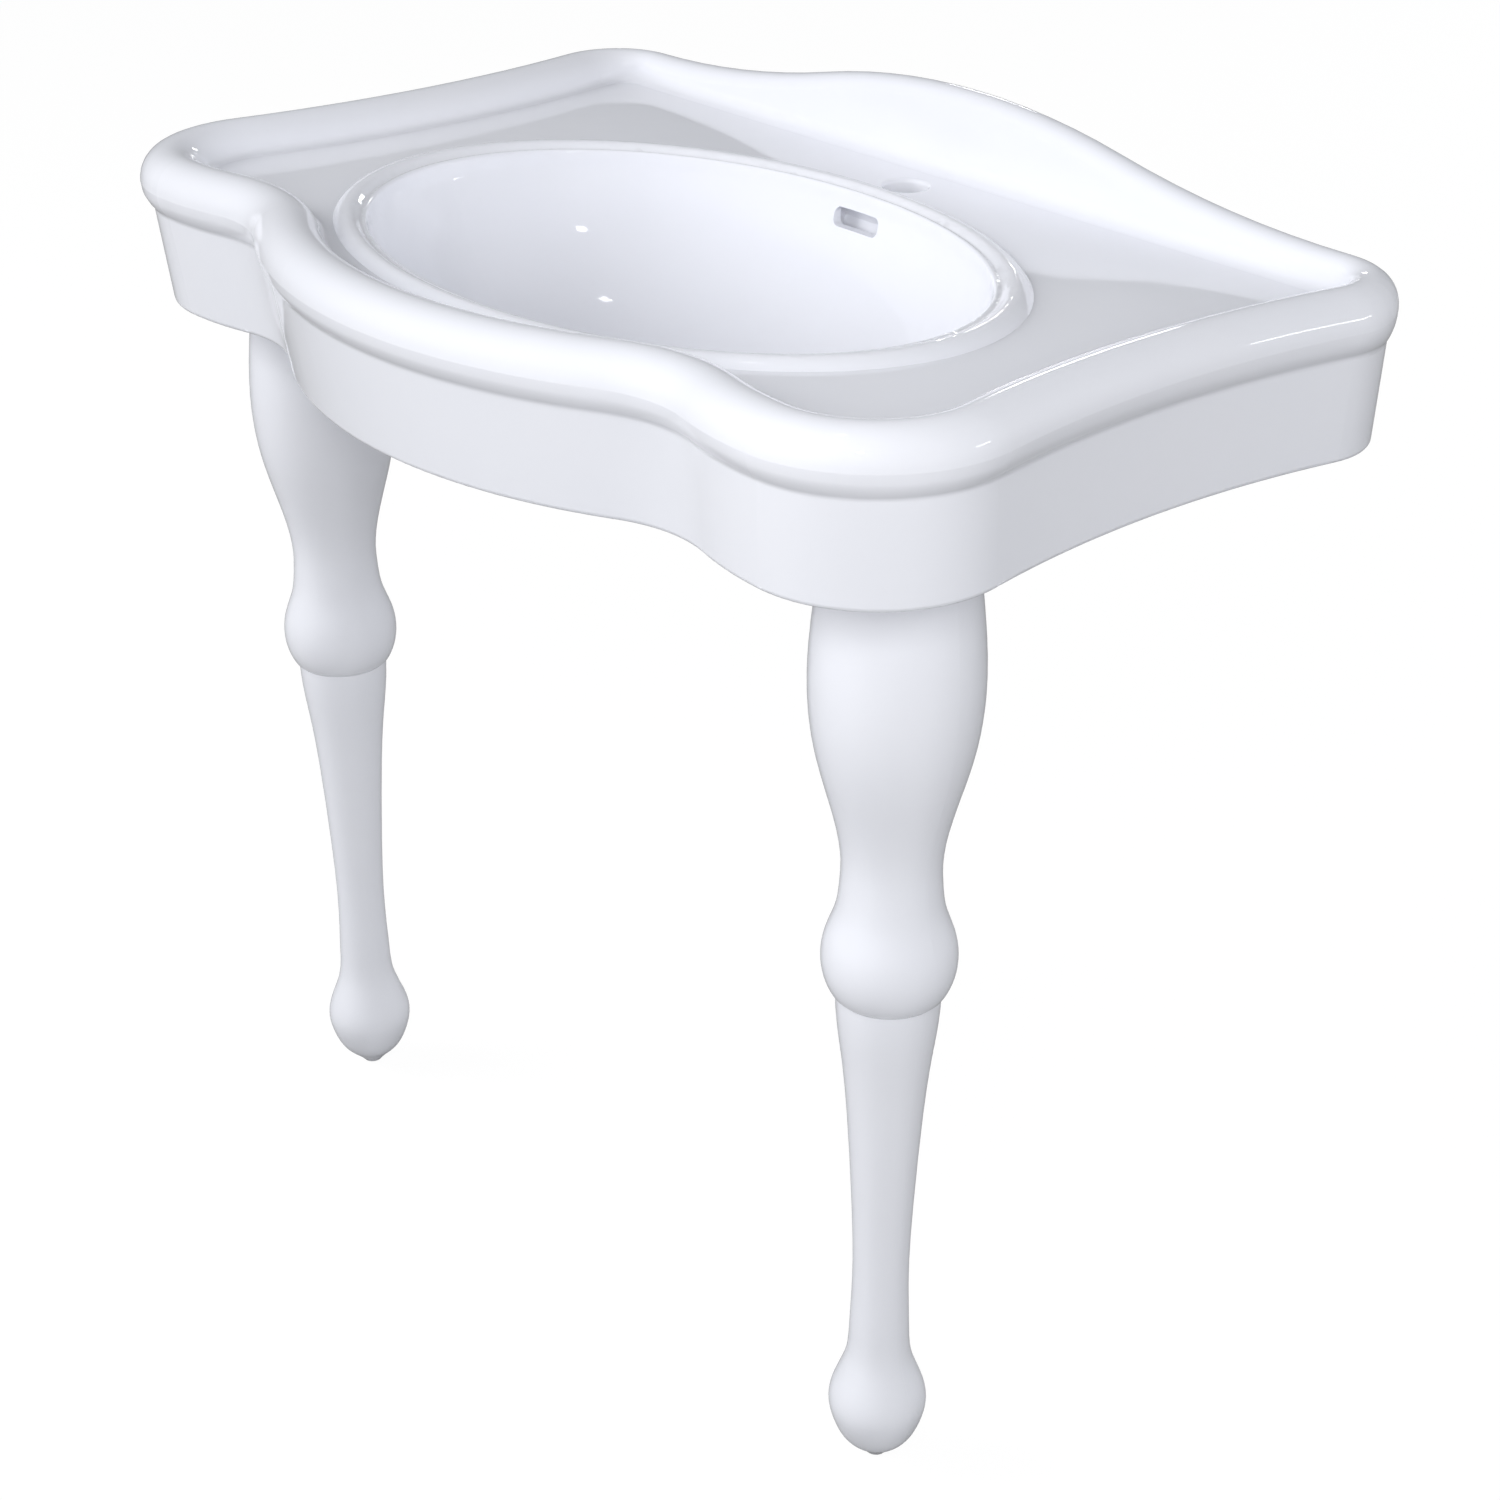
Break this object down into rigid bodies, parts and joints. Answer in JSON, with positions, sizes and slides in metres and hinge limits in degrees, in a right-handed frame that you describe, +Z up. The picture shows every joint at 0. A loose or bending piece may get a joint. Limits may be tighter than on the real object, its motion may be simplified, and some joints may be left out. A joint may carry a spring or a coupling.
{
  "type": "console sink with legs",
  "caption": "Wall-fixed console sink in glazed china: oval bowl, rolled rim, bowed front and camel-back splash on turned front legs.",
  "frame": {"origin": "on the floor, midway between the sides and midway between the wall face and the front of the rim", "axes": "+Z up, +Y towards the wall, +X to the right of someone who stands at the sink"},
  "size_m": [0.91, 0.5879, 0.9199],
  "materials": {
    "vitreous_china": "white gloss glaze",
    "black_rubber": "moulded, matt",
    "zinc_plated_steel": "bright zinc plate",
    "nylon": "natural, satin"
  },
  "bodies": {
    "root": {"console_top": "vitreous_china", "leg_left": "vitreous_china", "leg_right": "vitreous_china", "foot_pad_left": "black_rubber", "foot_pad_right": "black_rubber", "leg_cross_bar_left": "zinc_plated_steel", "leg_cross_bar_right": "zinc_plated_steel", "leg_jam_nut_left": "zinc_plated_steel", "leg_jam_nut_right": "zinc_plated_steel", "leg_bolt_left": "zinc_plated_steel", "leg_bolt_right": "zinc_plated_steel", "leg_gasket_left": "black_rubber", "leg_gasket_right": "black_rubber", "seat_washer_left": "black_rubber", "seat_washer_right": "black_rubber", "steel_washer_left": "zinc_plated_steel", "steel_washer_right": "zinc_plated_steel", "wing_nut_left": "zinc_plated_steel", "wing_nut_right": "zinc_plated_steel", "wall_bush_left": "nylon", "wall_bush_right": "nylon"}
  },
  "joints": []
}
